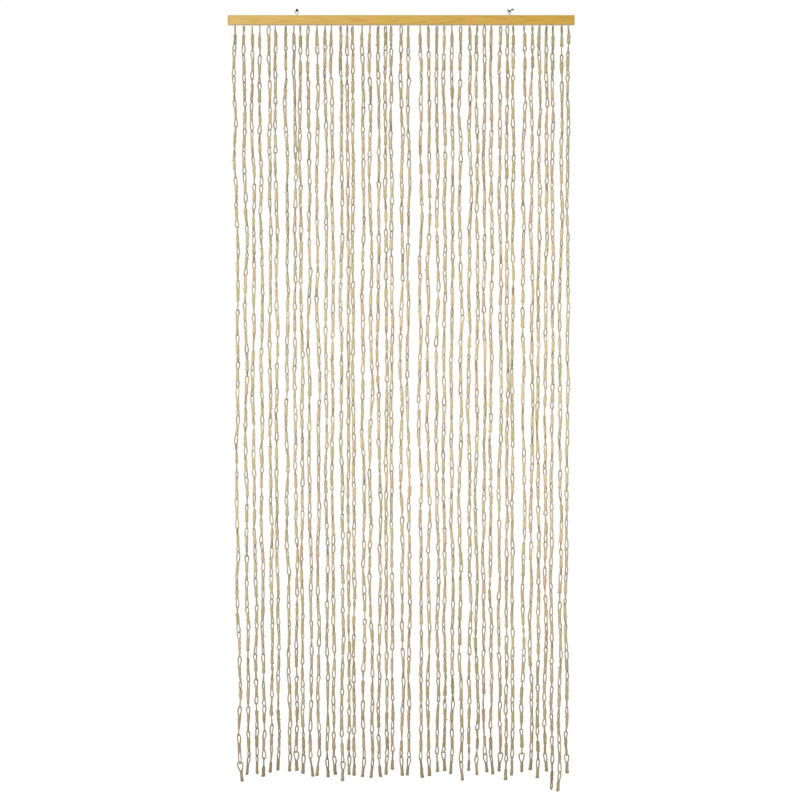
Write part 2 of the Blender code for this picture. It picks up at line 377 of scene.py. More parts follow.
def build_wear_group():
    """Fine scratches and rubbed patches on wire, from Object coordinates."""
    inputs = (("Vector", "NodeSocketVector"), ("Scale", "NodeSocketFloat"))
    outputs = (("Rubbed", "NodeSocketFloat"), ("Scratches", "NodeSocketFloat"))
    group, start, end = new_group("wire_wear", inputs, outputs)
    vector = start.outputs["Vector"]
    patches = noise_of(group, vector, start.outputs["Scale"], 3.0)
    fine = noise_of(group, scaled(group, vector, (1.0, 1.0, 0.2)), 5200.0, 2.0)
    group.links.new(between(group, patches, 0.54, 0.70, 0.0, 1.0), end.inputs["Rubbed"])
    group.links.new(fine, end.inputs["Scratches"])
    return group


# Finishes

def husk_inputs(tree):
    fibre = add(tree, "ShaderNodeAttribute", attribute_name="fibre").outputs["Vector"]
    tone = add(tree, "ShaderNodeAttribute", attribute_name="tone")
    return fibre, tone


def husk_surface(tree, husk, fibre, tone, vein_scale, groove):
    inputs = {"Fibre": fibre, "Tone": tone.outputs["Color"], "Vein Scale": vein_scale, "Painted Shade And Blotches": groove}
    return place_group(tree, husk, inputs)


def build_twisted_husk(husk):
    """Two plies of husk twisted into a cord, with painted shade in the groove between them."""
    lay = 11.0
    material, tree, shader = new_material("twisted_husk")
    fibre, tone = husk_inputs(tree)
    parts = add(tree, "ShaderNodeSeparateXYZ", {"Vector": fibre})
    turn = maths(tree, "MULTIPLY", parts.outputs["Z"], math.tau / lay)
    twist = {"Vector": fibre, "Angle": turn}
    laid = add(tree, "ShaderNodeVectorRotate", twist, rotation_type="Z_AXIS").outputs[0]
    ply = maths(tree, "ABSOLUTE", add(tree, "ShaderNodeSeparateXYZ", {"Vector": laid}).outputs["X"])
    # Painted shade in the groove between the plies.
    groove = between(tree, ply, 0.05, 0.55, 1.0, 0.0)
    surface = husk_surface(tree, husk, laid, tone, (3.4, 3.4, 0.14), groove)
    crown = maths(tree, "POWER", ply, 0.6)
    height = maths(tree, "ADD", crown, maths(tree, "MULTIPLY", surface.outputs["Height"], 0.5))
    browned = add(tree, "ShaderNodeSeparateColor", {"Color": tone.outputs["Color"]}).outputs["Blue"]
    tree.links.new(mixed(tree, browned, surface.outputs["Color"], CORD_BROWN), shader.inputs["Base Color"])
    tree.links.new(surface.outputs["Roughness"], shader.inputs["Roughness"])
    bumped(tree, shader, height, 0.55 * MM)
    return material


def build_wound_husk(husk):
    """Husk strip wound round the link's middle, each turn lapping the last, with painted shade under each
    lap's edge, and darker towards a sleeve's tip.
    """
    lap = 3.6
    material, tree, shader = new_material("wound_husk")
    fibre, tone = husk_inputs(tree)
    parts = add(tree, "ShaderNodeSeparateXYZ", {"Vector": fibre})
    slant = maths(tree, "MULTIPLY", parts.outputs["X"], 0.9)
    raggedness = noise_of(tree, scaled(tree, fibre, (1.6, 1.6, 0.3)), 1.0, 3.0)
    rough_edge = maths(tree, "MULTIPLY", raggedness, 2.6)
    wound = maths(tree, "ADD", maths(tree, "ADD", parts.outputs["Z"], slant), rough_edge)
    turn = maths(tree, "FRACT", maths(tree, "DIVIDE", wound, lap))
    blotches = noise_of(tree, scaled(tree, fibre, (1.4, 1.4, 0.32)), 1.0, 3.0, 0.6)
    # Painted shade just under each lapping edge; the blotches are the husk's own mottling.
    lap_shade = between(tree, turn, 0.0, 0.18, 0.8, 0.0)
    groove = maths(tree, "MAXIMUM", lap_shade, between(tree, blotches, 0.54, 0.72, 0.0, 0.7))
    winding = {"X": parts.outputs["X"], "Y": parts.outputs["Y"], "Z": wound}
    across = add(tree, "ShaderNodeCombineXYZ", winding).outputs[0]
    surface = husk_surface(tree, husk, across, tone, (0.8, 0.8, 2.6), groove)
    lapped = between(tree, turn, 0.0, 0.14, 0.0, 1.0)
    rise = maths(tree, "MULTIPLY", lapped, between(tree, turn, 0.14, 1.0, 1.0, 0.55))
    height = maths(tree, "ADD", rise, maths(tree, "MULTIPLY", surface.outputs["Height"], 0.7))
    # Darker towards a sleeve's tip and on the knots, by the tone's fourth channel.
    colour = mixed(tree, tone.outputs["Alpha"], surface.outputs["Color"], DARK_TIP_BROWN)
    tree.links.new(colour, shader.inputs["Base Color"])
    tree.links.new(surface.outputs["Roughness"], shader.inputs["Roughness"])
    bumped(tree, shader, height, 0.5 * MM)
    return material


def build_pine():
    """Varnished pine: arches of flat-sawn grain, ochre and amber patches, and painted shade along the edges
    and near the ends.
    """
    material, tree, shader = new_material("varnished_pine", Coat_Weight=0.25, Coat_Roughness=0.22)
    place = add(tree, "ShaderNodeTexCoord").outputs["Object"]
    parts = add(tree, "ShaderNodeSeparateXYZ", {"Vector": place})

    middle = (BAR_TOP + BAR_BOTTOM) / 2
    half_height = (BAR_TOP - BAR_BOTTOM) / 2
    heart = {"Vector": place, "Location": (0.0, 0.043, -middle), "Rotation": (0.0, 0.004, 0.030)}
    log = add(tree, "ShaderNodeMapping", heart).outputs[0]
    wave = {"Vector": scaled(tree, log, (0.08, 1.0, 1.0)), "Scale": 118.0, "Distortion": 2.6, "Detail": 2.0}
    rings = add(tree, "ShaderNodeTexWave", wave, wave_type="RINGS", rings_direction="X").outputs["Fac"]
    streaks = noise_of(tree, scaled(tree, place, (9.0, 330.0, 330.0)), 1.0, 5.0, 0.62)
    pores = noise_of(tree, scaled(tree, place, (60.0, 2600.0, 2600.0)), 1.0, 2.0)
    strength = noise_of(tree, scaled(tree, place, (9.0, 40.0, 40.0)), 1.0, 2.0)
    patches = noise_of(tree, scaled(tree, place, (20.0, 55.0, 55.0)), 1.0, 2.0)

    share = maths(tree, "POWER", between(tree, parts.outputs["X"], BAR_LOW.x, BAR_HIGH.x, 0.0, 1.0), 0.6)
    pale = mixed(tree, share, PINE_LEFT, PINE_RIGHT)
    dark = mixed(tree, share, PINE_GRAIN_LEFT, PINE_GRAIN_RIGHT)
    dark_rings = between(tree, rings, 0.45, 0.95, 0.0, 1.0)
    latewood = maths(tree, "MULTIPLY", dark_rings, between(tree, strength, 0.4, 0.6, 0.1, 0.85))
    grain = maths(tree, "ADD", latewood, between(tree, streaks, 0.48, 0.72, 0.0, 0.7))
    colour = mixed(tree, maths(tree, "MINIMUM", grain, 1.0), pale, dark)
    colour = mixed(tree, between(tree, patches, 0.52, 0.70, 0.0, 0.45), colour, PINE_OCHRE)
    colour = mixed(tree, between(tree, patches, 0.48, 0.32, 0.0, 0.45), colour, PINE_AMBER)

    # Painted shade along the eased top and bottom edges and near the bar's ends.
    across = maths(tree, "ABSOLUTE", maths(tree, "SUBTRACT", parts.outputs["Z"], middle))
    rim_shade = between(tree, across, half_height - 2.3 * MM, half_height - 0.3 * MM, 0.0, 0.4)
    along = maths(tree, "ABSOLUTE", parts.outputs["X"])
    end = between(tree, along, BAR_HIGH.x - 10 * MM, BAR_HIGH.x, 0.0, 0.35)
    colour = mixed(tree, maths(tree, "MAXIMUM", rim_shade, end), colour, PINE_EDGE_SHADE)
    tree.links.new(colour, shader.inputs["Base Color"])
    tree.links.new(between(tree, streaks, 0.3, 0.7, 0.44, 0.34), shader.inputs["Roughness"])
    bumped(tree, shader, maths(tree, "ADD", streaks, maths(tree, "MULTIPLY", pores, 0.6)), 0.06 * MM)
    return material


def build_tape():
    """The woven carrier tape in the groove: plain weave over object coordinates, with painted shade in the
    weave.
    """
    material, tree, shader = new_material("woven_tape")
    place = add(tree, "ShaderNodeTexCoord").outputs["Object"]
    yarns = {"Vector": place, "Scale": 320.0}
    waves = [
        add(tree, "ShaderNodeTexWave", yarns, bands_direction=axis).outputs["Fac"]
        for axis in ("X", "Y")
    ]
    weave = maths(tree, "MULTIPLY", *waves)
    fluff = noise_of(tree, place, 900.0, 3.0)
    # The weave is drawn darker in the shade brown: painted shade of the yarns.
    colour = mixed(tree, maths(tree, "MULTIPLY", weave, 0.5), TAPE, HUSK_SHADE_AND_BLOTCH)
    tree.links.new(colour, shader.inputs["Base Color"])
    tree.links.new(between(tree, fluff, 0.3, 0.7, 0.7, 0.9), shader.inputs["Roughness"])
    bumped(tree, shader, maths(tree, "ADD", weave, fluff), 0.15 * MM)
    return material


def build_zinc(wear):
    """Bright zinc-coated wire with dull rubbed patches."""
    material, tree, shader = new_material("zinc_wire", Metallic=1.0)
    place = add(tree, "ShaderNodeTexCoord").outputs["Object"]
    rub = place_group(tree, wear, {"Vector": place, "Scale": 260.0})
    colour = mixed(tree, rub.outputs["Rubbed"], ZINC, ZINC_RUBBED)
    tree.links.new(colour, shader.inputs["Base Color"])
    tree.links.new(between(tree, rub.outputs["Rubbed"], 0.0, 1.0, 0.26, 0.46), shader.inputs["Roughness"])
    bumped(tree, shader, rub.outputs["Scratches"], 0.02 * MM)
    return material


def build_black_wire(wear):
    """Black coated wire, a little worn where the eye rubs."""
    material, tree, shader = new_material("black_wire", Specular_IOR_Level=0.08)
    place = add(tree, "ShaderNodeTexCoord").outputs["Object"]
    rub = place_group(tree, wear, {"Vector": place, "Scale": 420.0})
    colour = mixed(tree, rub.outputs["Rubbed"], BLACK, BLACK_RUBBED)
    tree.links.new(colour, shader.inputs["Base Color"])
    tree.links.new(between(tree, rub.outputs["Rubbed"], 0.0, 1.0, 0.46, 0.6), shader.inputs["Roughness"])
    bumped(tree, shader, rub.outputs["Scratches"], 0.02 * MM)
    return material


def build_nylon():
    """Clear nylon thread."""
    material, tree, shader = new_material("clear_nylon", Transmission_Weight=0.92, IOR=1.53)
    place = add(tree, "ShaderNodeTexCoord").outputs["Object"]
    haze = noise_of(tree, place, 700.0, 2.0)
    tree.links.new(mixed(tree, haze, seen(250, 252, 252), seen(232, 238, 240)), shader.inputs["Base Color"])
    tree.links.new(between(tree, haze, 0.3, 0.7, 0.05, 0.18), shader.inputs["Roughness"])
    return material


# Drawing tubes

def path_rings(points, radii, across, flatness=1.0):
    """A ring square to the path at each point, carried along untwisted: its matrix and distance in mm."""
    rings = []
    travelled = 0.0
    for number, point in enumerate(points):
        before = points[max(number - 1, 0)]
        after = points[min(number + 1, len(points) - 1)]
        forward = (after - before).normalized()
        depth = forward.cross(across).normalized()
        across = depth.cross(forward)
        travelled += (point - before).length / MM
        radius = radii[number]
        matrix = Matrix((across * radius, depth * radius * flatness, forward)).transposed().to_4x4()
        matrix.translation = point
        rings.append((matrix, travelled))
    return rings


def draw_tube(bm, rings, sides, lumps=0.0, rng=None):
    """Extrudes a circle from ring to ring and closes both ends.

    The vertex layer "fibre" keeps each point's cosine and sine about the tube and its distance along in mm.
    """
    layer = bm.verts.layers.float_vector.get("fibre") or bm.verts.layers.float_vector.new("fibre")
    verts = bmesh.ops.create_circle(bm, cap_ends=True, segments=sides, radius=1.0)["verts"]
    edges = list({edge for vert in verts for edge in vert.link_edges})
    for vert in verts:
        vert[layer] = vert.co
    for number, (matrix, travelled) in enumerate(rings):
        if number:
            grown = bmesh.ops.extrude_edge_only(bm, edges=edges)["geom"]
            verts = [item for item in grown if isinstance(item, bmesh.types.BMVert)]
            new = set(verts)
            edges = [e for e in grown if isinstance(e, bmesh.types.BMEdge) and new.issuperset(e.verts)]
        for vert in verts:
            x, y, _ = vert[layer]
            reach = 1 + rng.uniform(-lumps, lumps) if rng else 1.0
            vert.co = matrix @ Vector((x * reach, y * reach, 0.0))
            vert[layer] = (x, y, travelled)
    bmesh.ops.contextual_create(bm, geom=edges)


def finish_bmesh(bm, name, material_index=0):
    """Turns the faces outwards, shades them smooth and gives the mesh."""
    bmesh.ops.recalc_face_normals(bm, faces=bm.faces)
    for face in bm.faces:
        face.smooth = True
        face.material_index = material_index
    mesh = bpy.data.meshes.new(name)
    bm.to_mesh(mesh)
    bm.free()
    return mesh


def keep_form(bm, name, material_index):
    """Keeps a small form to be hung many times: its mesh, its points and its fibre coordinates."""
    layer = bm.verts.layers.float_vector["fibre"]
    points = np.array([vert.co for vert in bm.verts])
    fibre = np.array([vert[layer] for vert in bm.verts])
    bm.verts.layers.float_vector.remove(layer)
    return {"mesh": finish_bmesh(bm, name, material_index), "points": points, "fibre": fibre}


def add_piece(name, mesh, *materials):
    """A piece of the object at the origin that rides on the one body."""
    piece = bpy.data.objects.new(name, mesh)
    bpy.context.scene.collection.objects.link(piece)
    for material in materials:
        mesh.materials.append(material)
    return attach(piece, "root")


# Forms of a link

def eye_path(half_width, rise):
    """Half an eye from its crown down to the end of its leg, which lies inside the wrapping.

    A high rise gives a pointed eye and a low one a broad crown.
    """
    steps = 3
    path = []
    for step in range(steps + 1):
        angle = step / steps * math.pi / 2
        path.append((half_width * math.sin(angle), CORD_RADIUS - rise * (1 - math.cos(angle))))
    shoulder = CORD_RADIUS - rise
    for share in (0.5, 1.0):
        x = EYE_LEG_APART + (half_width - EYE_LEG_APART) * math.cos(share * math.pi / 2)
        path.append((x, shoulder + (-EYE_DRAWN - shoulder) * share))
    return path


def draw_eye(rng, half_width, rise):
    """A hairpin of twisted cord: crown at the top, both legs running down into the wrapping."""
    left = eye_path(half_width * rng.uniform(*EYE_WIDER), rise * rng.uniform(*EYE_HIGHER))
    right = eye_path(half_width * rng.uniform(*EYE_WIDER), rise * rng.uniform(*EYE_HIGHER))
    lean = rng.uniform(-EYE_LEAN, EYE_LEAN)
    skew = rng.uniform(*EYE_SKEW)
    points = []
    for x, z in [(-x, z) for x, z in reversed(left)] + right[1:]:
        aside = math.sin(math.pi * min(1.0, max(0.0, z / -EYE_DRAWN)))
        behind = skew * x / half_width
        points.append(Vector((x + lean * aside, behind, z)) * MM)
    radii = [CORD_RADIUS * rng.uniform(*CORD_THICKER) * MM for _ in points]
    bm = bmesh.new()
    draw_tube(bm, path_rings(points, radii, Vector((0, 1, 0))), CORD_SIDES, CORD_LUMPS, rng)
    return keep_form(bm, "eye_form", 0)


def draw_cut_legs(rng):
    """The open end of the strand that was cut: two legs with ragged ends."""
    bm = bmesh.new()
    for side in (-1, 1):
        flat = ((1.1, 0), (2.2, -8), (2.5, -14), (1.9, -19), (1.7, -22 - side))
        points = [Vector((side * x, 0.3 * side, z)) * MM for x, z in flat]
        radii = [CORD_RADIUS * share * MM for share in (1.0, 1.0, 0.95, 1.0, 0.7)]
        draw_tube(bm, path_rings(points, radii, Vector((0, 1, 0))), CORD_SIDES, CORD_LUMPS, rng)
    return keep_form(bm, "cut_legs_form", 0)


def draw_frayed_ends(rng):
    """Short loose ends under the last wrapping of the frayed strand."""
    bm = bmesh.new()
    ends = ((-1.6, 0.4, 8, -0.9), (1.5, -0.3, 9, 1.2), (0.2, 0.9, 5, 0.2), (-0.4, -1.0, 6, -0.3))
    for x, y, length, spread in ends:
        points = [Vector((x + spread * share, y, 2 - (length + 2) * share)) * MM for share in (0, 0.5, 1)]
        radii = [CORD_RADIUS * share * MM for share in (0.75, 0.7, 0.3)]
        draw_tube(bm, path_rings(points, radii, Vector((0, 1, 0))), 5, 0.12, rng)
    return keep_form(bm, "frayed_form", 0)


def draw_wrap(rng, profile, name):
    """A wound sleeve: uneven rings, a little flattened, drawn downwards from its top."""
    points = []
    radii = []
    for share, width in profile:
        drift = [rng.uniform(-WRAP_DRIFT, WRAP_DRIFT) * math.sin(math.pi * share) for _ in range(2)]
        points.append(Vector((drift[0], drift[1], -WRAP_DRAWN * share)) * MM)
        radii.append(WRAP_WIDTH / 2 * width * rng.uniform(*WRAP_THICKER))
    bm = bmesh.new()
    rings = path_rings(points, radii, Vector((1, 0, 0)), WRAP_DEPTH_SHARE)
    draw_tube(bm, rings, WRAP_SIDES, WRAP_LUMPS, rng)
    return keep_form(bm, name, 1)


def draw_knot(rng):
    """The dark, stubby end of the husk strip that winds a wrapping, tucked out at its side."""
    length = rng.uniform(3.0, 4.8)
    droop = rng.uniform(-1.2, 2.2)
    points = [Vector((length * share, 0, -droop * share)) * MM for share in (0, 0.5, 0.9, 1)]
    radii = [share * MM for share in (0.8, 1.0, 1.3, 0.8)]
    bm = bmesh.new()
    draw_tube(bm, path_rings(points, radii, Vector((0, 1, 0)), 0.8), 5, 0.15, rng)
    return keep_form(bm, "knot_form", 1)


def draw_fibre(rng):
    """A stiff end of husk fibre that stands off a wrapping."""
    length = rng.uniform(2.2, 4.0)
    droop = rng.uniform(0.3, 1.4)
    points = [Vector((length * share, 0, -droop * share * share)) * MM for share in (0, 0.55, 1)]
    radii = [share * MM for share in (0.55, 0.38, 0.12)]
    bm = bmesh.new()
    draw_tube(bm, path_rings(points, radii, Vector((0, 1, 0)), 0.5), 4)
    return keep_form(bm, "fibre_form", 1)


def draw_forms():
    """All the small forms that the strands are hung from."""
    rng = random.Random(SEED)
    eyes = [draw_eye(rng, rng.uniform(*EYE_HALF_WIDTHS), rng.uniform(*EYE_RISES)) for _ in range(EYE_FORMS)]
    wide_eyes = {
        number: draw_eye(rng, half_width, rng.uniform(*WIDE_EYE_RISES))
        for number, half_width in WIDE_LAST_EYES.items()
    }
    wraps = [draw_wrap(rng, WRAP_PROFILES[n % len(WRAP_PROFILES)], "wrap_form") for n in range(WRAP_FORMS)]
    sleeves = [draw_wrap(rng, SLEEVE_PROFILE, "sleeve_form") for _ in range(SLEEVE_FORMS)]
    return {
        "eyes": eyes,
        "wide_eyes": wide_eyes,
        "wraps": wraps,
        "sleeves": sleeves,
        "fibres": [draw_fibre(rng) for _ in range(FIBRE_FORMS)],
        "knots": [draw_knot(rng) for _ in range(KNOT_FORMS)],
        "cut_legs": draw_cut_legs(rng),
        "frayed": draw_frayed_ends(rng),
    }


# Strands

def strand_places():
    """The x of each strand at the bar, bunch by bunch."""
    places = []
    x = FIRST_STRAND
    for bunch in BUNCHES:
        x += bunch["gap"] / 1000
        places.append(x)
        for pitch in bunch["pitches"]:
            x += pitch / 1000
            places.append(x)
    return places


def strand_length(number):
    longer_by = [extra for bunch in BUNCHES for extra in bunch["longer_by"]]
    return SHORTEST_STRAND + longer_by[number] / 1000


def strand_plan(number, places):
    """Where one strand's links meet and where their wrappings lie, from the bar down to the tip.

    A strand with a close neighbour wavers less. The draws are those of the solids, in the same order, so
    the turn of a solid's section is drawn as well, though no link uses it.
    """
    x_top = places[number]
    room = min(abs(x_top - place) for place in places if place != x_top)
    free = min(1.0, (room - STRAIGHT_PITCH) / (FREE_PITCH - STRAIGHT_PITCH))
    rng = random.Random(SEED * 1000 + number)
    links = rng.choice(LINK_COUNTS)
    end_link = CUT_LINK if number == CUT_STRAND else END_LINK
    length = strand_length(number)
    weights = [1 + rng.uniform(-LINK_JITTER, LINK_JITTER) for _ in range(links)]
    phases = [[rng.uniform(0, math.tau) for _ in SWAYS] for _ in range(2)]

    joints = []
    for link in range(links + 1):
        share = sum(weights[:link]) / sum(weights)
        drop = THREAD_DROP + share * (length - end_link - THREAD_DROP)
        place = Vector((x_top + PULL_SHARE * share * (PULL_CENTRE - x_top), BAR_Y, BAR_BOTTOM - drop))
        for axis in range(2):
            sway = rng.uniform(-JOINT_JITTER, JOINT_JITTER)
            for wave, phase in zip(SWAYS, phases[axis]):
                sway += wave["reach"] * math.sin(phase + wave["waves"] * math.tau * share)
            place[axis] += free * sway * min(1.0, link / STILL_LINKS)
        joints.append(place)
    lean = [free * rng.uniform(-TIP_LEAN, TIP_LEAN) for _ in range(2)]
    tip = joints[-1] + Vector((*lean, -1)) * end_link

    wraps = []
    for upper, lower in zip(joints, [*joints[1:], tip]):
        offset = Vector((rng.uniform(-WRAP_OFFSET, WRAP_OFFSET), rng.uniform(-WRAP_OFFSET, WRAP_OFFSET), 0))
        wraps.append(
            {
                "centre_share": 0.5 + rng.uniform(-WRAP_JITTER, WRAP_JITTER) / 2,
                "offset": offset,
                "width": WRAP_WIDTH * (1 + rng.uniform(-WRAP_JITTER, WRAP_JITTER)),
                "turn_deg": rng.uniform(-SECTION_TURN_DEG, SECTION_TURN_DEG),
            }
        )
    return joints, wraps, tip


def hang(form, start, end, turn, drop=0.0, stretch=(1, 1, 1), offset=(0, 0, 0), ease=0.0, twist=0.0):
    """The points of a form, drawn downwards from its origin, hung on the line from start to end.

    It starts drop below start. The offset, by which it stands off the line, and the twist grow over ease.
    """
    x, y, z = (form["points"] * stretch).T
    line = end - start
    if line.z > 0:
        y = -y
    fall = drop - z
    away = np.clip(fall / ease, 0, 1) ** 2 if ease else np.ones_like(fall)
    share = fall / line.length
    turns = turn + twist * away
    across = x * np.cos(turns) - y * np.sin(turns)
    behind = x * np.sin(turns) + y * np.cos(turns)
    return np.column_stack(
        (
            start.x + line.x * share + across + offset[0] * away,
            start.y + line.y * share + behind + offset[1] * away,
            start.z + line.z * share,
        )
    )


class Strand:
    """Collects the hung forms of one strand and joins them into one mesh."""

    def __init__(self, number):
        self.rng = random.Random(SEED * 3000 + number)
        self.hue = self.rng.uniform(-STRAND_HUE_SPREAD, STRAND_HUE_SPREAD)
        self.bm = bmesh.new()
        self.points = []
        self.fibres = []
        self.tones = []

    def tone(self, depth):
        """Hue, shade, browning and tip darkening of a link; a strand is palest near its middle."""
        hue = min(1.0, max(0.0, self.rng.gauss(MEAN_HUE, HUE_SPREAD) + self.hue))
        shade = self.rng.gauss(MEAN_SHADE, SHADE_SPREAD) - SHADE_FALL * (depth - PALEST_DEPTH) ** 2
        return (hue, shade, 0.0, 0.0)

    def add(self, form, points, tone):
        self.bm.from_mesh(form["mesh"])
        self.points.append(points)
        self.fibres.append(form["fibre"] + (0, 0, self.rng.uniform(0, 900)))
        self.tones.append(np.tile(tone, (len(points), 1)))

    def finish(self, name, materials):
        mesh = bpy.data.meshes.new(name)
        self.bm.to_mesh(mesh)
        self.bm.free()
        mesh.vertices.foreach_set("co", np.concatenate(self.points).astype(np.float32).ravel())
        fibre = mesh.attributes.new("fibre", "FLOAT_VECTOR", "POINT")
        fibre.data.foreach_set("vector", np.concatenate(self.fibres).astype(np.float32).ravel())
        tone = mesh.attributes.new("tone", "FLOAT_COLOR", "POINT")
        tone.data.foreach_set("color", np.concatenate(self.tones).astype(np.float32).ravel())
        mesh.update()
        return add_piece(name, mesh, *materials)


def hang_wrapping(strand, forms, start, end, wrap, drop, length, tone):
    """Hangs one wound sleeve, with now and then a fibre or a knot that stands off it."""
    rng = strand.rng
    form = rng.choice(forms["wraps"])
    width = wrap["width"]
    turn = rng.uniform(0, math.pi)
    stretch = (width / WRAP_WIDTH, width / WRAP_WIDTH, length / (WRAP_DRAWN * MM))
    strand.add(form, hang(form, start, end, turn, drop, stretch, wrap["offset"]), tone)
    for kind in rng.choice(STUBS_ON_A_WRAP):
        stub = rng.choice(forms[kind])
        spot = drop + length * rng.choice((rng.uniform(*STUBS_HIGH), rng.uniform(*STUBS_LOW)))
        stood_off = {"points": stub["points"] + (width * STUB_SEAT, 0, 0)}
        knot_darkening = KNOT_DARKENING if kind == "knots" else 0.0
        aside = rng.choice((0, math.pi)) + rng.uniform(-STUB_SWING, STUB_SWING)
        points = hang(stood_off, start, end, aside, spot, (1, 1, 1), wrap["offset"])
        strand.add(stub, points, (*tone[:3], knot_darkening))


def hang_link(strand, forms, start, end, wrap, turns, depth):
    """Hangs one link: an eye on the joint above, the wrapping, and an eye that hooks the link below."""
    rng = strand.rng
    tone = strand.tone(depth)
    span = (end - start).length
    length = rng.uniform(*WRAP_LENGTHS) * MM
    upper = span * wrap["centre_share"] - length / 2
    lower = span - upper - length
    for first, last, turn, eye_length in ((start, end, turns[0], upper), (end, start, turns[1], lower)):
        form = rng.choice(forms["eyes"])
        stretch = (1, 1, (eye_length / MM + EYE_IN_WRAP) / EYE_DRAWN)
        twist = rng.uniform(-EYE_TWIST, EYE_TWIST)
        points = hang(form, first, last, turn, 0.0, stretch, wrap["offset"], eye_length, twist)
        strand.add(form, points, (*tone[:2], rng.uniform(0.0, MOST_BROWNED), 0.0))
    hang_wrapping(strand, forms, start, end, wrap, upper, length, tone)


def hang_end(strand, number, forms, start, tip, wrap, turn):
    """Hangs the last link: one eye and a sleeve with a rounded tip that is drawn darker towards its end."""
    rng = strand.rng
    tone = strand.tone(1.0)
    span = (tip - start).length
    length = rng.uniform(*SLEEVE_LENGTHS) * MM
    upper = span - length
    eye = forms["wide_eyes"].get(number) or rng.choice(forms["eyes"])
    if number in WIDE_LAST_EYES:
        turn = rng.uniform(-WIDE_EYE_TURN, WIDE_EYE_TURN)
    stretch = (1, 1, (upper / MM + EYE_IN_WRAP) / EYE_DRAWN)
    strand.add(eye, hang(eye, start, tip, turn, 0.0, stretch, wrap["offset"], upper), tone)
    sleeve = rng.choice(forms["sleeves"])
    plump = wrap["width"] / WRAP_WIDTH
    stretch = (plump, plump, length / (WRAP_DRAWN * MM))
    points = hang(sleeve, start, tip, rng.uniform(0, math.pi), upper, stretch, wrap["offset"])
    strand.add(sleeve, points, tone)
    fallen = -sleeve["points"][:, 2] / (WRAP_DRAWN * MM)
    # The lowest part of a sleeve is drawn darker, by a random amount.
    darker_share = np.clip((fallen - TIP_DARKER_FROM) / (1 - TIP_DARKER_FROM), 0, 1)
    strand.tones[-1][:, 3] = darker_share * rng.uniform(*TIP_DARKENING)


def hang_cut_end(strand, forms, start, tip, wrap, turn):
    """Hangs the last link of the cut strand, whose lower eye is open and ragged."""
    rng = strand.rng
    tone = strand.tone(1.0)
    length = rng.uniform(*WRAP_LENGTHS) * MM
    upper = CUT_EYE * MM
    legs = forms["cut_legs"]
    eye = rng.choice(forms["eyes"])
    stretch = (1, 1, (upper / MM + EYE_IN_WRAP) / EYE_DRAWN)
    strand.add(eye, hang(eye, start, tip, turn, 0.0, stretch, wrap["offset"], upper), tone)
    hang_wrapping(strand, forms, start, tip, wrap, upper, length, tone)
    room = (tip - start).length - upper - length
    reach = -legs["points"][:, 2].min()
    stretch = (1, 1, room / reach)
    strand.add(legs, hang(legs, start, tip, 0.2, upper + length, stretch, wrap["offset"]), tone)


def build_strand(number, places, forms, materials):
    joints, wraps, tip = strand_plan(number, places)
    strand = Strand(number)
    rng = strand.rng
    turn = rng.gauss(math.pi / 2, FIRST_TURN_SPREAD)
    first_turn = turn
    for link, (start, end) in enumerate(zip(joints, joints[1:])):
        far_turn = turn + rng.uniform(-math.pi / 2, math.pi / 2)
        hang_link(strand, forms, start, end, wraps[link], (turn, far_turn), link / len(joints))
        skew = math.radians(rng.uniform(-JOINT_SKEW_DEG, JOINT_SKEW_DEG))
        turn = far_turn + math.pi / 2 + skew
    if number == CUT_STRAND:
        hang_cut_end(strand, forms, joints[-1], tip, wraps[-1], turn)
    else:
        hang_end(strand, number, forms, joints[-1], tip, wraps[-1], turn)
    if number == FRAYED_STRAND:
        frayed = forms["frayed"]
        above = tip + Vector((0, 0, FRAYED_ABOVE_TIP * MM))
        strand.add(frayed, hang(frayed, above, tip, 0.3), strand.tone(1.0))
    return strand.finish(f"strand_{number + 1:02d}", materials), joints[0], first_turn


def build_strips(tape):
    """The two carrier strips, with eased edges, in the groove under the bar."""
    height = 3.0 * MM
    depth = 4.0 * MM
    clear = 0.3 * MM
    edge = 0.5 * MM
    for side in ("left", "right"):
        low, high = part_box(f"strands_{side}")
        bm = bmesh.new()
        bmesh.ops.create_cube(bm, size=1.0)
        bmesh.ops.scale(bm, vec=(high.x - low.x, depth, height), verts=bm.verts)
        middle = ((low.x + high.x) / 2, BAR_Y, BAR_BOTTOM + clear + height / 2)
        bmesh.ops.translate(bm, vec=middle, verts=bm.verts)
        bmesh.ops.bevel(
            bm, geom=bm.edges, offset=edge, segments=2, profile=0.5, affect="EDGES", material=-1
        )
        strip = add_piece(f"carrier_strip_{side}", finish_bmesh(bm, f"carrier_strip_{side}"), tape)
        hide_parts(f"strands_{side}")


def build_nylon_loops(hung, nylon):
    """A clear thread from the strip round the crown of each first eye, and one loose end at the left."""
    radius = 0.2 * MM
    half = (CORD_RADIUS + 0.25) * MM
    apart = 0.3 * MM
    root = 0.4 * MM
    bm = bmesh.new()
    for crown, eye_turn in hung:
        across = Vector((math.cos(eye_turn + math.pi / 2), math.sin(eye_turn + math.pi / 2), 0))
        middle = crown + Vector((0, 0, CORD_RADIUS * MM))
        top = Vector((crown.x, BAR_Y, BAR_BOTTOM + root))
        points = [top - across * apart]
        for step in range(7):
            angle = math.pi + step / 6 * math.pi
            points.append(middle + across * half * math.cos(angle) + Vector((0, 0, half * math.sin(angle))))
        points.append(top + across * apart)
        draw_tube(bm, path_rings(points, [radius] * len(points), Vector((0, 0, 1)).cross(across)), 4)
    loose_end = ((-431, 0.4), (-437, -3), (-441.7, -10), (-444.3, -17.8), (-442, -30), (-437.8, -41))
    points = [Vector((x * MM, BAR_Y, BAR_BOTTOM + z * MM)) for x, z in loose_end]
    draw_tube(bm, path_rings(points, [radius] * len(points), Vector((0, 1, 0))), 4)
    add_piece("nylon_threads", finish_bmesh(bm, "nylon_threads"), nylon)


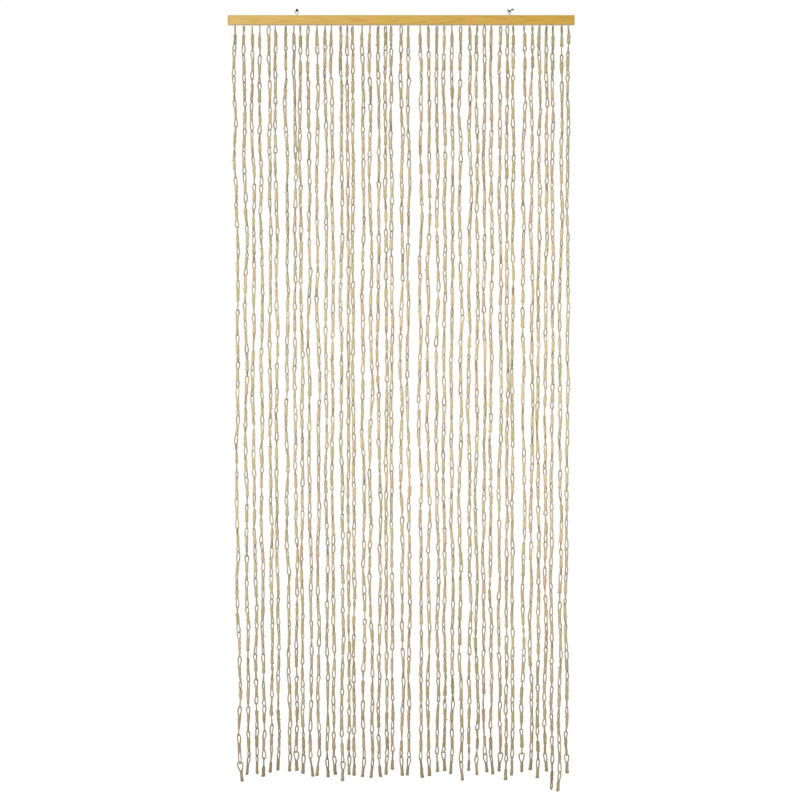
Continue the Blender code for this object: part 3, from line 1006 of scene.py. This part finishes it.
def build_curtain(materials, tape, nylon):
    forms = draw_forms()
    hung = []
    places = strand_places()
    for number in range(len(places)):
        piece, crown, turn = build_strand(number, places, forms, materials)
        side = "left" if number < STRANDS_ON_LEFT_STRIP else "right"
        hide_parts(f"strands_{side}")
        hung.append((crown, turn))
    build_strips(tape)
    build_nylon_loops(hung, nylon)


# Screw eyes and wall hooks

def turned(x, along, height, turn_deg):
    """A point of a wire bent in an upright plane through x, turned about +Z from the bar's line."""
    turn = math.radians(turn_deg)
    return Vector((x + along * math.cos(turn), BAR_Y + along * math.sin(turn), BAR_TOP + height))


def rounded(points, reach):
    """A path whose inner corners are rounded by short curves that start reach before each corner."""
    steps = 4
    smooth = [points[0]]
    for before, corner, after in zip(points, points[1:], points[2:]):
        into = corner + (before - corner).normalized() * min(reach, (before - corner).length / 2)
        out = corner + (after - corner).normalized() * min(reach, (after - corner).length / 2)
        for step in range(steps + 1):
            share = step / steps
            smooth.append(into.lerp(corner, share).lerp(corner.lerp(out, share), share))
    return [*smooth, points[-1]]


def draw_wire(name, points, diameter, material, node, taper=0):
    """A round wire along a path; its last taper points narrow to a screw's tip."""
    radii = [diameter / 2] * len(points)
    for number in range(taper):
        radii[-1 - number] *= (number + 0.4) / (taper + 0.4)
    bm = bmesh.new()
    draw_tube(bm, path_rings(points, radii, Vector((0.3, 1, 0.2)).normalized()), WIRE_SIDES)
    piece = add_piece(name, finish_bmesh(bm, name), material)
    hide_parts(node)


def build_screw_eye(side, hanger, zinc):
    """A wire that rises out of the bar and curls round into a nearly closed ring."""
    ring_steps = 28
    neck_bend = 1.2 * MM
    start = math.radians(-90 + EYE_OPENING_DEG / 2)
    sweep = math.radians(360 - EYE_OPENING_DEG)
    neck = [(EYE_STEM, -EYE_SCREW), (EYE_STEM, EYE_CENTRE - EYE_RADIUS - EYE_NECK)]
    ring = []
    for step in range(ring_steps + 1):
        angle = start + sweep * step / ring_steps
        ring.append((EYE_RADIUS * math.cos(angle), EYE_CENTRE + EYE_RADIUS * math.sin(angle)))
    stem = [turned(hanger["x"], s, z, hanger["ring_turn"]) for s, z in [*neck, ring[0], ring[1]]]
    loop = [turned(hanger["x"], s, z, hanger["ring_turn"]) for s, z in ring]
    points = rounded(stem, neck_bend)[:-1] + loop[1:]
    draw_wire(f"eye_{side}", points, EYE_WIRE, zinc, f"screw_eye_{side}")


def build_wall_hook(side, hanger, black, zinc):
    """A black-coated U that carries the eye; its rear leg bends at a knee and turns back at a corner."""
    arc_steps = 16
    front = math.radians(HOOK_SPLAY_DEG)
    knee = Vector(hanger["knee"]) - Vector((0, HOOK_RADIUS))
    corner = Vector(HOOK_CORNER) - Vector((0, HOOK_RADIUS))
    rear = math.acos(HOOK_RADIUS / knee.length) - math.atan2(knee.y, knee.x)
    tip = Vector((-math.cos(front), -math.sin(front))) * HOOK_RADIUS
    path = [tip + Vector((-math.sin(front), math.cos(front))) * HOOK_TIP]
    for step in range(arc_steps + 1):
        angle = math.pi + front + step / arc_steps * (math.pi - front - rear)
        path.append(Vector((math.cos(angle), math.sin(angle))) * HOOK_RADIUS)
    path += [knee, corner]

    level = EYE_CENTRE + HOOK_ABOVE_EYE + HOOK_RADIUS
    hook = [turned(hanger["x"], place.x, level + place.y, hanger["hook_turn"]) for place in path]
    turning = hook[-1]
    coated_end = turning + Vector((0, 2 * HOOK_BEND, 0))
    points = [*hook[:-3], *rounded([*hook[-3:], coated_end], HOOK_BEND)]
    draw_wire(f"hook_{side}", points, COATED_WIRE, black, f"wall_hook_{side}")
    depths = (coated_end.y - MM, HOOK_SCREW * 0.7, HOOK_SCREW * 0.85, HOOK_SCREW)
    shank = [Vector((turning.x, depth, turning.z)) for depth in depths]
    draw_wire(f"hook_shank_{side}", shank, BARE_WIRE, zinc, f"wall_hook_{side}", 2)
    build_screw_thread(side, turning, zinc)


def build_screw_thread(side, corner, zinc):
    """The raised thread of a hook's screw: a three-sided ridge wound round the shank."""
    steps_a_turn = 12
    ridge = 0.28 * MM
    least_ridge = 0.02 * MM
    point_share = 0.28
    point_narrowing = 0.75
    run = HOOK_SCREW * 0.92 - SCREW_START
    steps = round(run / SCREW_PITCH * steps_a_turn)
    points = []
    for step in range(steps + 1):
        angle = step / steps_a_turn * math.tau
        in_point = max(0.0, step / steps - 1 + point_share) / point_share
        radius = BARE_WIRE / 2 * (1.0 - point_narrowing * in_point)
        y = SCREW_START + run * step / steps
        points.append(Vector((corner.x + radius * math.cos(angle), y, corner.z + radius * math.sin(angle))))
    radii = [ridge * min(1.0, step / 6, (steps - step) / 6) + least_ridge for step in range(steps + 1)]
    bm = bmesh.new()
    draw_tube(bm, path_rings(points, radii, Vector((0, 1, 0))), 3)
    piece = add_piece(f"hook_thread_{side}", finish_bmesh(bm, f"hook_thread_{side}"), zinc)


# Picture, light and stage

def build_camera():
    """A long lens square to the curtain, at the height of its middle."""
    data = bpy.data.cameras.new("camera")
    data.lens = data.sensor_width * VIEW_DISTANCE / VIEW_WIDTH
    camera = bpy.data.objects.new("camera", data)
    camera.location = (VIEW_X, BAR_Y - VIEW_DISTANCE, BAR_TOP - VIEW_BELOW_BAR_TOP)
    camera.rotation_euler = (math.pi / 2, 0, 0)
    bpy.context.scene.collection.objects.link(camera)
    bpy.context.scene.camera = camera


def build_light():
    """White surroundings and one wide, soft sun from above the camera's left."""
    world = bpy.data.worlds.new("studio")
    bpy.context.scene.world = world
    world.use_nodes = True
    tree = world.node_tree
    seen_by_camera = add(tree, "ShaderNodeLightPath").outputs["Is Camera Ray"]
    strength = maths(tree, "ADD", maths(tree, "MULTIPLY", seen_by_camera, 1.0 - ROOM_LIGHT), ROOM_LIGHT)
    background = tree.nodes["Background"]
    background.inputs["Color"].default_value = (1, 1, 1, 1)
    tree.links.new(strength, background.inputs["Strength"])
    bpy.context.scene.view_settings.view_transform = "Standard"

    sun = bpy.data.lights.new("sun", "SUN")
    sun.energy = SUN_STRENGTH
    sun.angle = math.radians(SUN_SOFTNESS_DEG)
    lamp = bpy.data.objects.new("sun", sun)
    lamp.rotation_euler = (math.radians(90 - SUN_HEIGHT_DEG), 0, math.radians(SUN_SIDE_DEG))
    bpy.context.scene.collection.objects.link(lamp)


def build_floor():
    """A plain pale floor that is clear from below, so that it hides nothing there."""
    bm = bmesh.new()
    bmesh.ops.create_grid(bm, x_segments=1, y_segments=1, size=FLOOR_REACH)
    bmesh.ops.translate(bm, vec=(0, 0, FLOOR_Z), verts=bm.verts)
    mesh = bpy.data.meshes.new("floor")
    bm.to_mesh(mesh)
    bm.free()
    material, tree, shader = new_material("pale_floor", Roughness=0.9)
    shader.inputs["Base Color"].default_value = (*FLOOR_WHITE, 1.0)
    clear = add(tree, "ShaderNodeBsdfTransparent")
    below = add(tree, "ShaderNodeNewGeometry").outputs["Backfacing"]
    surface = add(tree, "ShaderNodeMixShader", {0: below, 1: shader.outputs[0], 2: clear.outputs[0]})
    tree.links.new(surface.outputs[0], tree.nodes["Material Output"].inputs["Surface"])
    mesh.materials.append(material)
    floor = bpy.data.objects.new("floor", mesh)
    bpy.context.scene.collection.objects.link(floor)


def dress_bar(pine):
    """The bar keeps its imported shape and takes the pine."""
    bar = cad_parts["bar"]
    bar.data.materials.clear()
    bar.data.materials.append(pine)


build_camera()
build_light()
build_floor()
husk = build_husk_group()
wear = build_wear_group()
zinc = build_zinc(wear)
black = build_black_wire(wear)
dress_bar(build_pine())
build_curtain((build_twisted_husk(husk), build_wound_husk(husk)), build_tape(), build_nylon())
for side, hanger in HANGERS.items():
    build_screw_eye(side, hanger, zinc)
    build_wall_hook(side, hanger, black, zinc)
